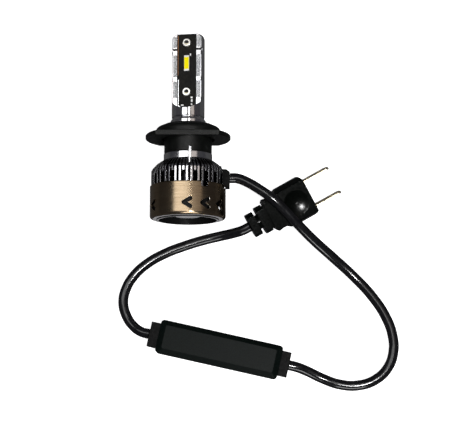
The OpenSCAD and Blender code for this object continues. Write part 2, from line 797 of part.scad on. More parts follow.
module plug_body() {
    dimple_r = 26;
    dimple_depth = 0.6;
    color("#151515") at_plug() difference() {
        intersection() {
            translate([0, 0, -plug_t]) linear_extrude(2 * plug_t) plug_outline();
            rotate([90, 0, 90]) translate([0, 0, -plug_l]) linear_extrude(plug_l + 1) plug_section();
        }
        for (side = [-1, 1]) translate([-7.2, 0, side * (plug_t / 2 + dimple_r - dimple_depth)])
            sphere(r = dimple_r, $fn = 180);
        for (side = [-1, 1]) block([8, blade_t, blade_w], [-4, side * blade_spacing / 2, 0]);
        translate([-plug_l - 1, 0, 0]) rotate([0, 90, 0]) cylinder(r = 1.6, h = 7, $fn = small_fn);
        for (side = [-1, 1]) block([7.4, 2.6, 3.2], [-11, side * 4.4, 0]);
        block([3, 11.4, 3.2], [-13.4, 0, 0]);
    }
}

// Ribbed relief: a core with two thick plates and a slot before each
module plug_strain_relief() {
    plates = [[-4.3, -0.9, 12.6, 8.6], [-9.2, -5.7, 10.8, 7.8]];
    color("#151515") at_plug() translate([-plug_l, 0, 0]) difference() {
        union() {
            translate([-relief_l + 0.5, 0, 0]) rotate([0, 90, 0])
                cylinder(r = 3.3, h = relief_l - 0.5, $fn = small_fn);
            block([1, 10, 7.4], [-0.5, 0, 0]);
            for (p = plates) intersection() {
                block([p[1] - p[0], p[2], p[3]], [(p[0] + p[1]) / 2, 0, 0]);
                translate([p[0] - 1, 0, 0]) rotate([0, 90, 0])
                    cylinder(r = p[2] / 2 + 0.1, h = 8, $fn = small_fn);
            }
        }
        translate([-relief_l - 1, 0, 0]) rotate([0, 90, 0])
            cylinder(r = 1.6, h = relief_l + 2, $fn = small_fn);
    }
}

module plug_blade(side) {
    chamfer = 1.2;
    half = blade_w / 2;
    color("#d8c9a0") at_plug()
        translate([0, side * blade_spacing / 2 + blade_t / 2, 0]) rotate([90, 0, 0])
        linear_extrude(blade_t) difference() {
            polygon([[-8, -half], [blade_l - chamfer, -half], [blade_l, -half + chamfer],
                [blade_l, half - chamfer], [blade_l - chamfer, half], [-8, half]]);
            translate([8.4, 0]) circle(d = 1.8, $fn = small_fn);
        }
}

module plug_blade_upper() {
    plug_blade(1);
}

module plug_blade_lower() {
    plug_blade(-1);
}

// Crimped wire ends behind the blades
module plug_crimps() {
    color("#b87333") at_plug() for (side = [-1, 1]) difference() {
        block([4, 1.8, 2.4], [-10.2, side * 4.4, 0]);
        translate([-14, side * 4.4, 0]) rotate([0, 90, 0]) cylinder(r = 0.6, h = 8, $fn = small_fn);
    }
}

lamp_pillar();
led_board_front();
led_board_back();
led_substrates();
led_phosphors();
board_screws();
board_parts();
heat_sink();
neck_o_ring();
adapter_collar();
fan_shroud();
fan_frame();
fan_rotor();
fan_magnet_ring();
fan_shaft();
fan_bearing();
fan_stator_core();
fan_coils();
fan_circuit_board();
fan_hub_label();
fan_screws();
cable_grommet();
board_leads();
fan_leads();
lamp_cable();
plug_cable();
driver_base();
driver_lid();
driver_sleeve_lamp_side();
driver_sleeve_plug_side();
driver_board();
driver_inductor();
driver_capacitors();
driver_chips();
plug_body();
plug_strain_relief();
plug_blade_upper();
plug_blade_lower();
plug_crimps();
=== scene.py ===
"""LED headlight bulb with its cable, inline driver box and two-blade plug, lying on a pale table.

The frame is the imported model's, in metres: the lamp's axis runs along +Y and +Z is up. Measures that
comments or names give in millimetres are scaled by MM where they are used.
"""
import math

import bpy
from mathutils import Matrix, Vector, noise


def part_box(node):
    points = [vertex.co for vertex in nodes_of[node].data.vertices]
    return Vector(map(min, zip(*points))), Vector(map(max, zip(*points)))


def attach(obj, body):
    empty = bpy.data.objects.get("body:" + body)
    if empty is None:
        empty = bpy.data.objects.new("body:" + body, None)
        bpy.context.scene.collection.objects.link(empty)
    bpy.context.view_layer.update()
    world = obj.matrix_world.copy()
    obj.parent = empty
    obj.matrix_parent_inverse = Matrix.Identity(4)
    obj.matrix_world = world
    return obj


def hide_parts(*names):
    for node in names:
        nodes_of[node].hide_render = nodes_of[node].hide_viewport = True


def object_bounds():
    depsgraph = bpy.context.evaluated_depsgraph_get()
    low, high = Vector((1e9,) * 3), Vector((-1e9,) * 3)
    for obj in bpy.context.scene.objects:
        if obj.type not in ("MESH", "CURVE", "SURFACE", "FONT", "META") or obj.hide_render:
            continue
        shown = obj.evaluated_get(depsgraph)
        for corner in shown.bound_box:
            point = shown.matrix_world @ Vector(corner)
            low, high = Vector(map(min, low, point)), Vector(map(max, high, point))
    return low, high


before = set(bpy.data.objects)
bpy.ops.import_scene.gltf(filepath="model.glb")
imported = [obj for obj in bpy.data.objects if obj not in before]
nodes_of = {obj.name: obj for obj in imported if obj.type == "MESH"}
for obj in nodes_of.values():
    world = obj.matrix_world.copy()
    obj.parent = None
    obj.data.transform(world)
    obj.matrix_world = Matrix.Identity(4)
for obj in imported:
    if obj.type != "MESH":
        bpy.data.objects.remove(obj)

MM = 0.001
cad_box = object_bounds()

# ---------- camera ----------

CAMERA_DISTANCE = 0.65
CAMERA_TILT = math.radians(8.5)
CAMERA_TARGET = Vector((20.5, -37.3, 0)) * MM
LENS_MM = 114.8
SENSOR_MM = 36

camera_data = bpy.data.cameras.new("camera")
camera_data.lens = LENS_MM
camera_data.sensor_width = SENSOR_MM
camera_data.sensor_fit = "HORIZONTAL"
camera_data.clip_start = 0.01
camera = bpy.data.objects.new("camera", camera_data)
camera.rotation_euler = (CAMERA_TILT, 0, 0)
TOWARDS_CAMERA = Vector((0, -math.sin(CAMERA_TILT), math.cos(CAMERA_TILT)))
camera.location = CAMERA_TARGET + CAMERA_DISTANCE * TOWARDS_CAMERA
bpy.context.scene.collection.objects.link(camera)
bpy.context.scene.camera = camera

# ---------- materials ----------

# The part of a noise texture's range that its values mostly fill
NOISE_LOW, NOISE_HIGH = 0.3, 0.7
# Cosines between a face's normal and the way out from the lamp's axis: a flank has less than the first,
# an outer edge more than the second
OUTWARD_FROM, OUTWARD_TO = 0.45, 0.6


class Surface:
    """A Principled material under construction, with object coordinates ready for its textures."""

    def __init__(self, name, roughness, metallic=0.0):
        self.material = bpy.data.materials.new(name)
        self.material.use_nodes = True
        self.tree = self.material.node_tree
        self.shader = self.tree.nodes["Principled BSDF"]
        self.shader.inputs["Roughness"].default_value = roughness
        self.shader.inputs["Metallic"].default_value = metallic
        self.coords = self.add("ShaderNodeTexCoord").outputs["Object"]
        self.normal = None

    def add(self, kind, **settings):
        """Adds a node and sets its attributes."""
        node = self.tree.nodes.new(kind)
        for key, value in settings.items():
            setattr(node, key, value)
        return node

    def link(self, output, socket):
        self.tree.links.new(output, socket)

    def set(self, **values):
        """Sets the shader's own sockets, with underscores in place of the spaces in their names."""
        for key, value in values.items():
            self.shader.inputs[key.replace("_", " ")].default_value = value
        return self

    def stretched(self, stretch):
        """Object coordinates scaled along each axis, so that a texture turns into streaks."""
        mapping = self.add("ShaderNodeMapping")
        mapping.inputs["Scale"].default_value = stretch
        self.link(self.coords, mapping.inputs["Vector"])
        return mapping.outputs["Vector"]

    def noise(self, scale, detail=3.0, stretch=None):
        """Noise of about `scale` features to the metre, or drawn out into streaks by `stretch`."""
        node = self.add("ShaderNodeTexNoise")
        node.inputs["Scale"].default_value = scale
        node.inputs["Detail"].default_value = detail
        self.link(self.stretched(stretch) if stretch else self.coords, node.inputs["Vector"])
        return node.outputs["Fac"]

    def ramp(self, value, stops):
        """A colour ramp through (position, colour) stops."""
        node = self.add("ShaderNodeValToRGB")
        elements = node.color_ramp.elements
        while len(elements) < len(stops):
            elements.new(0.5)
        for element, (position, colour) in zip(elements, stops):
            element.position = position
            element.color = (*colour, 1)
        self.link(value, node.inputs["Fac"])
        return node.outputs["Color"]

    def colour(self, value, stops):
        """Base colour from a ramp over a texture's value."""
        self.link(self.ramp(value, stops), self.shader.inputs["Base Color"])
        return self

    def rough(self, value, low, high):
        """Roughness that varies between two values with a noise texture."""
        node = self.add("ShaderNodeMapRange")
        node.inputs["From Min"].default_value = NOISE_LOW
        node.inputs["From Max"].default_value = NOISE_HIGH
        node.inputs["To Min"].default_value = low
        node.inputs["To Max"].default_value = high
        self.link(value, node.inputs["Value"])
        self.link(node.outputs["Result"], self.shader.inputs["Roughness"])
        return self

    def radial(self, fade_from_mm, fade_to_mm):
        """1 on faces that look away from the lamp's axis beyond a radius, 0 on flanks and roots, which get
        painted shade.
        """
        flat = self.add("ShaderNodeVectorMath", operation="MULTIPLY")
        flat.inputs[1].default_value = (1, 0, 1)
        self.link(self.coords, flat.inputs[0])
        distance = self.add("ShaderNodeVectorMath", operation="LENGTH")
        self.link(flat.outputs["Vector"], distance.inputs[0])
        outside = self.add("ShaderNodeMapRange")
        outside.inputs["From Min"].default_value = fade_from_mm * MM
        outside.inputs["From Max"].default_value = fade_to_mm * MM
        self.link(distance.outputs["Value"], outside.inputs["Value"])
        outward = self.add("ShaderNodeVectorMath", operation="NORMALIZE")
        self.link(flat.outputs["Vector"], outward.inputs[0])
        facing = self.add("ShaderNodeVectorMath", operation="DOT_PRODUCT")
        self.link(outward.outputs["Vector"], facing.inputs[0])
        self.link(self.add("ShaderNodeTexCoord").outputs["Normal"], facing.inputs[1])
        faces_out = self.add("ShaderNodeMapRange")
        faces_out.inputs["From Min"].default_value = OUTWARD_FROM
        faces_out.inputs["From Max"].default_value = OUTWARD_TO
        self.link(facing.outputs["Value"], faces_out.inputs["Value"])
        both = self.add("ShaderNodeMath", operation="MULTIPLY")
        self.link(outside.outputs["Result"], both.inputs[0])
        self.link(faces_out.outputs["Result"], both.inputs[1])
        return both.outputs["Value"]

    def mix(self, factor, first, second):
        """Blends two colours; the node's sockets for other kinds of data are switched off."""
        node = self.add("ShaderNodeMix", data_type="RGBA")
        for value, socket in zip((factor, first, second), [i for i in node.inputs if i.enabled]):
            self.link(value, socket)
        return next(o for o in node.outputs if o.enabled)

    def soft_edges(self, radius_mm):
        """Rounds sharp edges in the shading, as moulded and tumbled parts have them."""
        node = self.add("ShaderNodeBevel", samples=4)
        node.inputs["Radius"].default_value = radius_mm * MM
        self.normal = node.outputs["Normal"]
        self.link(self.normal, self.shader.inputs["Normal"])
        return self

    def bump(self, value, height_mm):
        """Fine relief of a given height, on top of any edges softened before."""
        node = self.add("ShaderNodeBump")
        node.inputs["Distance"].default_value = height_mm * MM
        self.link(value, node.inputs["Height"])
        if self.normal is not None:
            self.link(self.normal, node.inputs["Normal"])
        self.normal = node.outputs["Normal"]
        self.link(self.normal, self.shader.inputs["Normal"])
        return self


def polished_aluminium():
    """Milled and polished bar with faint lengthwise polishing streaks; their pink and blue tints are
    painted reflections.
    """
    surface = Surface("polished aluminium", 0.16, 1.0)
    streaks = surface.noise(1.0, 4, (420, 14, 420))
    # painted reflections: the white, pink and blue stops stand in for reflected light along the bar
    surface.colour(streaks, [(0.3, (0.72, 0.74, 0.8)), (0.5, (0.9, 0.9, 0.9)),
                             (0.62, (0.93, 0.86, 0.85)), (0.75, (0.8, 0.82, 0.9))])
    surface.rough(surface.noise(900, 5), 0.08, 0.18)
    return surface.soft_edges(0.12).bump(surface.noise(1.0, 2, (300, 3000, 300)), 0.004)


def cast_aluminium():
    """Grey, grainy floor of the pockets in the pillar's rails."""
    surface = Surface("cast aluminium", 0.5, 0.35)
    grain = surface.noise(2300, 6)
    surface.colour(grain, [(0.4, (0.16, 0.165, 0.17)), (0.5, (0.5, 0.51, 0.52)), (0.6, (0.85, 0.85, 0.86))])
    surface.rough(grain, 0.4, 0.7)
    return surface.bump(surface.noise(1900, 6), 0.05)


# Radii between which the fins' metal turns from painted shade at the roots into bright edges
FIN_DARK_R, FIN_BRIGHT_R = 10.1, 10.4


def fin_aluminium():
    """Bright machined edges and neck; near-black painted shade on the flanks and roots between the fins."""
    surface = Surface("fin aluminium", 0.28, 1.0)
    bright = surface.ramp(surface.noise(260, 4), [(0.35, (0.74, 0.75, 0.78)), (0.6, (0.93, 0.93, 0.94))])
    # painted shade: the near-black colour of flanks and roots stands in for the shade between the fins
    dark = surface.ramp(surface.noise(500, 4), [(0.35, (0.005, 0.005, 0.0055)),
                                                (0.65, (0.022, 0.022, 0.024))])
    tint = surface.mix(surface.radial(FIN_DARK_R, FIN_BRIGHT_R), dark, bright)
    surface.link(tint, surface.shader.inputs["Base Color"])
    surface.rough(surface.noise(1500, 4), 0.12, 0.24)
    return surface.soft_edges(0.18).bump(surface.noise(1.0, 3, (2500, 120, 2500)), 0.006)


def bronze_anodised():
    """Turned bronze-coloured shroud, with fine rings round it."""
    surface = Surface("bronze anodised metal", 0.22, 1.0)
    rings = surface.noise(1.0, 5, (60, 1500, 60))
    surface.colour(rings, [(0.3, (0.31, 0.225, 0.14)), (0.5, (0.35, 0.265, 0.17)),
                           (0.7, (0.4, 0.31, 0.205))])
    surface.rough(surface.noise(1.0, 4, (90, 2600, 90)), 0.17, 0.27)
    return surface.soft_edges(0.15).bump(surface.noise(1.0, 3, (60, 5200, 60)), 0.0015)


def black_metal():
    """Satin black anodised collar with a few paler rubs."""
    surface = Surface("black anodised metal", 0.38)
    surface.colour(surface.noise(420, 6), [(0.35, (0.002, 0.0022, 0.002)), (0.62, (0.0045, 0.005, 0.0045)),
                                           (0.72, (0.012, 0.013, 0.012))])
    surface.rough(surface.noise(1400, 5), 0.3, 0.48)
    return surface.soft_edges(0.2).bump(surface.noise(5200, 3), 0.006).set(Specular_IOR_Level=0.25)


def black_board():
    """Matt black solder mask of the light boards."""
    surface = Surface("black solder mask", 0.45)
    surface.colour(surface.noise(700, 5), [(0.35, (0.0045, 0.004, 0.003)), (0.65, (0.01, 0.009, 0.007))])
    surface.rough(surface.noise(2600, 4), 0.38, 0.55)
    return surface.bump(surface.noise(1500, 3), 0.01).set(Specular_IOR_Level=0.14)


def ceramic():
    """White substrate of the light chips and the small parts beside them."""
    surface = Surface("white ceramic", 0.35)
    surface.colour(surface.noise(2400, 4), [(0.3, (0.8, 0.79, 0.76)), (0.7, (0.93, 0.93, 0.92))])
    return surface.rough(surface.noise(3000, 3), 0.28, 0.5).bump(surface.noise(5000, 3), 0.01)


def phosphor():
    """Saturated yellow coating of the light chips."""
    surface = Surface("yellow phosphor", 0.45)
    surface.colour(surface.noise(3500, 4), [(0.3, (1.0, 0.8, 0.0)), (0.7, (1.0, 0.92, 0.0))])
    surface.set(Specular_IOR_Level=0.1)
    return surface.rough(surface.noise(4000, 3), 0.35, 0.6).bump(surface.noise(6000, 4), 0.01)


def plated_steel():
    """Bright plating of the screws and the fan's shaft."""
    surface = Surface("plated steel", 0.22, 1.0)
    surface.colour(surface.noise(1200, 4), [(0.3, (0.72, 0.7, 0.64)), (0.7, (0.93, 0.92, 0.88))])
    surface.rough(surface.noise(3000, 4), 0.16, 0.34)
    return surface.soft_edges(0.06).bump(surface.noise(4500, 3), 0.006)


def rubber():
    """Matt black rubber of the seal, the grommet, the driver's sleeves and the fan's wires."""
    surface = Surface("black rubber", 0.5)
    surface.colour(surface.noise(900, 6), [(0.35, (0.002, 0.002, 0.002)), (0.65, (0.006, 0.006, 0.006))])
    surface.rough(surface.noise(2200, 4), 0.38, 0.6)
    return surface.soft_edges(0.15).bump(surface.noise(3600, 4), 0.01).set(Specular_IOR_Level=0.05)


def cable_jacket():
    """Glossy black vinyl with faint dust."""
    surface = Surface("cable jacket", 0.2)
    surface.colour(surface.noise(600, 6), [(0.4, (0.004, 0.004, 0.005)), (0.66, (0.009, 0.009, 0.01)),
                                           (0.78, (0.02, 0.02, 0.021))])
    surface.rough(surface.noise(1600, 5), 0.14, 0.2)
    return surface.bump(surface.noise(300, 2), 0.001).set(Specular_IOR_Level=0.55)


def moulded_plastic(name, low, high, grain, grain_mm, roughness, specular):
    """Plastic with a grain in colour, roughness and relief, between two shades."""
    surface = Surface(name, 0.4)
    surface.colour(surface.noise(grain, 6), [(0.36, low), (0.64, high)])
    surface.rough(surface.noise(grain * 0.8, 5), *roughness)
    return surface.soft_edges(0.25).bump(surface.noise(grain, 5), grain_mm).set(Specular_IOR_Level=specular)


def blade_brass():
    """Stamped brass of the plug's blades."""
    surface = Surface("blade brass", 0.2, 1.0)
    surface.colour(surface.noise(500, 5), [(0.3, (0.9, 0.78, 0.52)), (0.55, (0.98, 0.9, 0.7)),
                                           (0.75, (0.74, 0.6, 0.34))])
    surface.rough(surface.noise(1600, 4), 0.42, 0.56)
    return surface.soft_edges(0.1).bump(surface.noise(1.0, 3, (300, 300, 3000)), 0.003)


def grainy_metal(name, low, high, scale=1200, roughness=(0.3, 0.5), bump_mm=0.008):
    """Plain metal that wavers between two shades."""
    surface = Surface(name, 0.4, 1.0)
    surface.colour(surface.noise(scale, 5), [(0.35, low), (0.65, high)])
    surface.rough(surface.noise(scale * 1.6, 4), *roughness)
    return surface.bump(surface.noise(scale * 2, 3), bump_mm)


def copper_winding():
    """Enamelled wire laid turn on turn."""
    surface = Surface("copper winding", 0.3, 1.0)
    surface.colour(surface.noise(900, 4), [(0.35, (0.5, 0.2, 0.08)), (0.65, (0.85, 0.42, 0.2))])
    wave = surface.add("ShaderNodeTexWave", wave_type="BANDS", bands_direction="Y")
    wave.inputs["Scale"].default_value = 1500
    wave.inputs["Distortion"].default_value = 0.6
    surface.link(surface.coords, wave.inputs["Vector"])
    return surface.bump(wave.outputs["Fac"], 0.06)


def speckled(name, low, high, scale, roughness, bump_mm=0.01):
    """Plain paint, lacquer or jacket that wavers between two shades."""
    surface = Surface(name, 0.4)
    surface.colour(surface.noise(scale, 5), [(0.35, low), (0.65, high)])
    surface.rough(surface.noise(scale * 1.5, 4), *roughness)
    return surface.bump(surface.noise(scale * 2, 3), bump_mm)


# One finish for each material slot of the record
finishes = {
    "polished_aluminium": polished_aluminium(),
    "fin_aluminium": fin_aluminium(),
    "black_collar_metal": black_metal(),
    "bronze_metal": bronze_anodised(),
    "black_board": black_board(),
    "white_ceramic": ceramic(),
    "yellow_phosphor": phosphor(),
    "plated_steel": plated_steel(),
    "black_rubber": rubber(),
    "cable_jacket": cable_jacket(),
    "black_plastic": moulded_plastic(
        "black plastic", (0.004, 0.004, 0.004), (0.009, 0.009, 0.009),
        grain=1800, grain_mm=0.006, roughness=(0.3, 0.42), specular=0.1),
    "driver_plastic": moulded_plastic(
        "driver plastic", (0.0015, 0.0024, 0.0021), (0.0045, 0.0075, 0.0066),
        grain=3200, grain_mm=0.006, roughness=(0.34, 0.46), specular=0.06),
    "plug_plastic": moulded_plastic(
        "plug plastic", (0.0008, 0.0011, 0.0009), (0.002, 0.0028, 0.0023),
        grain=1500, grain_mm=0.0008, roughness=(0.12, 0.18), specular=0.1),
    "blade_brass": blade_brass(),
    "bearing_bronze": grainy_metal("bearing bronze", (0.4, 0.25, 0.12), (0.62, 0.42, 0.22)),
    "core_steel": grainy_metal("core steel", (0.35, 0.35, 0.36), (0.6, 0.6, 0.62)),
    "copper_wire": copper_winding(),
    "dark_magnet": grainy_metal(
        "sintered magnet", (0.05, 0.05, 0.055), (0.11, 0.11, 0.115), scale=2500, roughness=(0.5, 0.7)),
    "green_board": speckled(
        "green solder mask", (0.01, 0.06, 0.025), (0.02, 0.11, 0.045), scale=900, roughness=(0.25, 0.4)),
    "silver_label": speckled(
        "silver label", (0.6, 0.6, 0.61), (0.86, 0.86, 0.87),
        scale=700, roughness=(0.28, 0.42), bump_mm=0.004),
    "red_wire": speckled(
        "red wire jacket", (0.4, 0.015, 0.01), (0.6, 0.03, 0.02), scale=1200, roughness=(0.3, 0.45)),
    "capacitor_can": grainy_metal(
        "capacitor can", (0.4, 0.42, 0.46), (0.66, 0.68, 0.72), scale=900, roughness=(0.25, 0.4)),
}

# Finishes of the pieces that are added here
finishes.update({
    "cast_aluminium": cast_aluminium(),
    "copper_edge": grainy_metal("copper under the mask", (0.16, 0.07, 0.03), (0.34, 0.17, 0.08)),
    "tin_line": grainy_metal(
        "tinned line", (0.7, 0.71, 0.72), (0.92, 0.92, 0.93), scale=900, roughness=(0.15, 0.3)),
    # painted reflection: the lit side of the screw sockets, as a pale crescent
    "screw_socket": grainy_metal(
        "screw socket", (0.6, 0.54, 0.38), (0.92, 0.86, 0.66), scale=700, roughness=(0.22, 0.34)),
    # painted reflection: pale rings that stand in for the table's light reflected in the dark rims at the
    # fan's end
    "silver_paint": speckled(
        "painted rim reflection", (0.6, 0.59, 0.6), (0.88, 0.87, 0.88),
        scale=1500, roughness=(0.25, 0.4), bump_mm=0.004),
    "slot_shade": speckled(
        "shaded slot wall", (0.001, 0.001, 0.001), (0.004, 0.0035, 0.003),
        scale=1500, roughness=(0.5, 0.7)),
    # painted highlight round the shroud's slots
    "slot_edge": grainy_metal(
        "painted slot highlight", (0.7, 0.66, 0.58), (0.95, 0.92, 0.86), scale=900, roughness=(0.2, 0.35)),
})

for node in nodes_of.values():
    for holder in node.material_slots:
        finish = finishes.get(holder.material.name.split(".")[0])
        if finish is None:
            raise ValueError(f"{node.name}: no finish for {holder.material.name}")
        holder.material = finish.material

# ---------- cords ----------

CABLE_D = 4.4 * MM
# Routes of the two cables in millimetres, as in the CAD model
LAMP_CABLE_ROUTE = [
    (18.2, -18.9, 0), (21.5, -19, 0), (26, -20.8, 0.4), (31, -23.9, 1.1), (37, -28.2, 0.9),
    (42.4, -33, -1), (48.2, -38.9, -3.6), (55, -45.2, -7.2), (63.5, -52.2, -11.4), (73, -60.6, -14),
    (81.2, -69.6, -14.3), (86.9, -78.6, -14.3), (89.6, -86.6, -14.3), (89.8, -93.6, -14.3),
    (87.3, -100.4, -14.3), (82, -105.5, -14.3), (74.4, -108.1, -14.3), (66.2, -107.7, -14.3),
    (58.4, -105, -14.3), (52, -102, -13.2), (47.4, -100.3, -11.8), (44, -99.5, -11.5)]
PLUG_CABLE_ROUTE = [
    (-16.8, -85.9, -11.5), (-20.2, -85, -12.1), (-24.2, -82.1, -13.6), (-27.2, -77.6, -14.3),
    (-28.6, -72, -14.3), (-27.6, -66.2, -14.3), (-24, -60, -14.3), (-18, -54.5, -14.3),
    (-10, -50, -14.3), (-2, -46.9, -14.3), (6, -44.4, -14.3), (13.6, -42.6, -13.9),
    (19.6, -41.5, -11.8), (24, -40.4, -9.8), (27.1, -38.9, -9)]


def cord_curve(name, route):
    """A smooth round cable along a route."""
    curve = bpy.data.curves.new(name, "CURVE")
    curve.dimensions = "3D"
    curve.bevel_depth = CABLE_D / 2
    curve.bevel_resolution = 10
    curve.resolution_u = 10
    curve.use_fill_caps = True
    spline = curve.splines.new("BEZIER")
    spline.bezier_points.add(len(route) - 1)
    for point, place in zip(spline.bezier_points, route):
        point.co = Vector(place) * MM
        point.handle_left_type = "AUTO"
        point.handle_right_type = "AUTO"
    obj = bpy.data.objects.new(name, curve)
    bpy.context.scene.collection.objects.link(obj)
    curve.materials.append(finishes["cable_jacket"].material)
    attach(obj, "lamp")
    return obj


lamp_cord = cord_curve("lamp_cord", LAMP_CABLE_ROUTE)
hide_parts("lamp_cable")
plug_cord = cord_curve("plug_cord", PLUG_CABLE_ROUTE)
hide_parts("plug_cable")

# ---------- pieces on the pillar ----------

PILLAR_ROLL = math.radians(11)
# Turns a part drawn along +Z, front flat towards -Y, into its place on the lying pillar
ON_PILLAR = Matrix.Rotation(math.radians(-90), 4, "X") @ Matrix.Rotation(-PILLAR_ROLL, 4, "Z")

# The CAD model's measures in millimetres: heights of faces over the pillar's axis, and places along it
BOARD_FACE = 3.4
RAIL_FACE = 3.6
RAIL_POCKETS = [(16.2, 23.7), (25.5, 35.4), (38.9, 43.6)]
POCKET_FLOOR = 3.25
POCKET_X = 4.9
GROOVE_Z = 37.9
SCREW_Z = (18.8, 40.9)

# Cast skins: their reach across the rail, their grid, and how far they lie over the metal below
SKIN_X = (4.38, 6.15)
SKIN_COLUMNS = 12
SKIN_ROW = 0.18
SKIN_MARGIN = 0.05
SKIN_RELIEF = 0.02
SKIN_WAVES = 3.1
SKIN_OVER_POCKET = 0.09
SKIN_OVER_RAIL = 0.03

# Painted shade over the seams beside the board and on the groove bottoms, as (x, height, z) ranges on one
# side
SEAM = ((4.1, 4.36), (RAIL_FACE + 0.02, RAIL_FACE + 0.04), (14.6, 44.6))
GROOVE_SHADE = ((4.3, 6.3), (RAIL_FACE - 0.35, RAIL_FACE - 0.25), (GROOVE_Z - 0.44, GROOVE_Z + 0.44))

# Bare lines along the board's edge, as (x, z) ranges
BOARD_LINES = {
    "copper_edge": ((-4.03, -3.72), (26.4, 44.2)),
    "tin_line": ((-3.9, -3.55), (13.4, 24.4)),
}
BOARD_LINE_HALF = 0.05

# Screw sockets: a round-bottomed well of painted shade, and a crescent of painted reflection over its
# mouth;
# steps, start and sweep are angles in degrees
WELL_R = 1.04
WELL_DEPTH = 0.4
WELL_MOUTH = BOARD_FACE + 0.55
WELL_STEP = 11
WELL_RINGS = 9
CRESCENT_R = 1.02
CRESCENT_WIDTH = 0.6
CRESCENT_FROM = 190
CRESCENT_SWEEP = 160
CRESCENT_HEIGHT = BOARD_FACE + 0.58


def add_piece(name, verts, faces, finish, place=Matrix.Identity(4), smooth=True):
    """A mesh piece from points in millimetres, put in place and riding on the lamp."""
    mesh = bpy.data.meshes.new(name)
    mesh.from_pydata([place @ (Vector(v) * MM) for v in verts], [], faces)
    mesh.validate()
    for polygon in mesh.polygons:
        polygon.use_smooth = smooth
    obj = bpy.data.objects.new(name, mesh)
    bpy.context.scene.collection.objects.link(obj)
    mesh.materials.append(finishes[finish].material)
    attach(obj, "lamp")


def sheet_faces(rows, columns, start):
    """Quads of a grid of points laid out row by row."""
    return [(start + r * columns + c, start + r * columns + c + 1,
             start + (r + 1) * columns + c + 1, start + (r + 1) * columns + c)
            for r in range(rows - 1) for c in range(columns - 1)]


def rail_pads(flat, place):
    """Grainy cast skin in and beside the rail pockets, as thin sheets with real relief."""
    inner, outer = SKIN_X
    verts, faces = [], []
    for side in (-1, 1):
        for low, high in RAIL_POCKETS:
            rows = int((high - low) / SKIN_ROW)
            start = len(verts)
            for r in range(rows):
                for c in range(SKIN_COLUMNS):
                    x = side * (inner + (outer - inner) * c / (SKIN_COLUMNS - 1))
                    z = low + SKIN_MARGIN + (high - low - 2 * SKIN_MARGIN) * r / (rows - 1)
                    relief = SKIN_RELIEF * noise.noise(Vector((x, 0, z)) * SKIN_WAVES)
                    in_pocket = abs(x) > POCKET_X
                    height = POCKET_FLOOR + SKIN_OVER_POCKET if in_pocket else RAIL_FACE + SKIN_OVER_RAIL
                    verts.append((x, -height - relief, z))
            faces += sheet_faces(rows, SKIN_COLUMNS, start)
    add_piece(f"rail_pads_{flat}", verts, faces, "cast_aluminium", place=place)


def box_mesh(x_range, heights, z_range):
    """Corners and faces of a box that stands over a flat, between two heights."""
    verts = [(x, -height, z) for x in x_range for height in reversed(heights) for z in z_range]
    faces = [(0, 1, 3, 2), (4, 6, 7, 5), (0, 4, 5, 1), (2, 3, 7, 6), (0, 2, 6, 4), (1, 5, 7, 3)]
    return verts, faces


def rail_shades(flat, place):
    """Painted shade over the seams between board and rails, and on the bottoms of the cross grooves."""
    verts, faces = [], []
    for side in (-1, 1):
        for x_range, heights, z_range in (SEAM, GROOVE_SHADE):
            corners, sides = box_mesh([side * x for x in x_range], heights, z_range)
            faces += [tuple(len(verts) + i for i in face) for face in sides]
            verts += corners
    add_piece(f"rail_shades_{flat}", verts, faces, "slot_shade", place=place, smooth=False)


def board_lines(flat, place):
    """The copper edge that shows along one side of the board, and the tinned line below it."""
    heights = (BOARD_FACE - BOARD_LINE_HALF, BOARD_FACE + BOARD_LINE_HALF)
    for kind, (x_range, z_range) in BOARD_LINES.items():
        verts, faces = box_mesh(x_range, heights, z_range)
        add_piece(f"{kind}_{flat}", verts, faces, kind, place=place, smooth=False)


def lathe(name, profile, z, finish, place, steps=32):
    """A piece turned about a screw's axis at z on the flat, from (radius, height) points."""
    turns = [2 * math.pi * k / steps for k in range(steps)]
    verts = [(r * math.cos(turn), -height, z + r * math.sin(turn))
             for r, height in profile for turn in turns]
    faces = []
    for ring in range(len(profile) - 1):
        for k in range(steps):
            low, low_next = ring * steps + k, ring * steps + (k + 1) % steps
            faces.append((low, low_next, low_next + steps, low + steps))
    add_piece(name, verts, faces, finish, place=place)


def crescent(name, z, place, steps=20):
    """A flat crescent of painted reflection at one side of a socket, widest in the middle."""
    verts = []
    for k in range(steps + 1):
        turn = math.radians(CRESCENT_FROM + CRESCENT_SWEEP * k / steps)
        width = CRESCENT_WIDTH * math.sin(math.pi * k / steps)
        for radius in (CRESCENT_R, CRESCENT_R - width):
            verts.append((radius * math.cos(turn), -CRESCENT_HEIGHT, z + radius * math.sin(turn)))
    faces = [(2 * k, 2 * k + 1, 2 * k + 3, 2 * k + 2) for k in range(steps)]
    add_piece(name, verts, faces, "screw_socket", place=place)


def screw_sockets(flat, place):
    """What shows inside the hollow screw heads of one flat: painted shade and a painted reflection."""
    slopes = [math.radians(90 - WELL_STEP * k) for k in range(WELL_RINGS)]
    well = [(WELL_R * math.sin(a), WELL_MOUTH - WELL_DEPTH * math.cos(a)) for a in slopes]
    for index, z in enumerate(SCREW_Z):
        # painted shade: a dark well where the socket lies in shade
        lathe(f"screw_well_{flat}_{index}", well, z, "slot_shade", place)
        crescent(f"screw_socket_{flat}_{index}", z, place)


flats = {"front": ON_PILLAR, "back": ON_PILLAR @ Matrix.Rotation(math.pi, 4, "Z")}
for flat, place in flats.items():
    rail_pads(flat, place)
    rail_shades(flat, place)
    board_lines(flat, place)
    screw_sockets(flat, place)

# ---------- painted highlights round the shroud's slots ---

SHROUD_R = 16.5
SHROUD_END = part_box("fan_shroud")[0][1] / MM
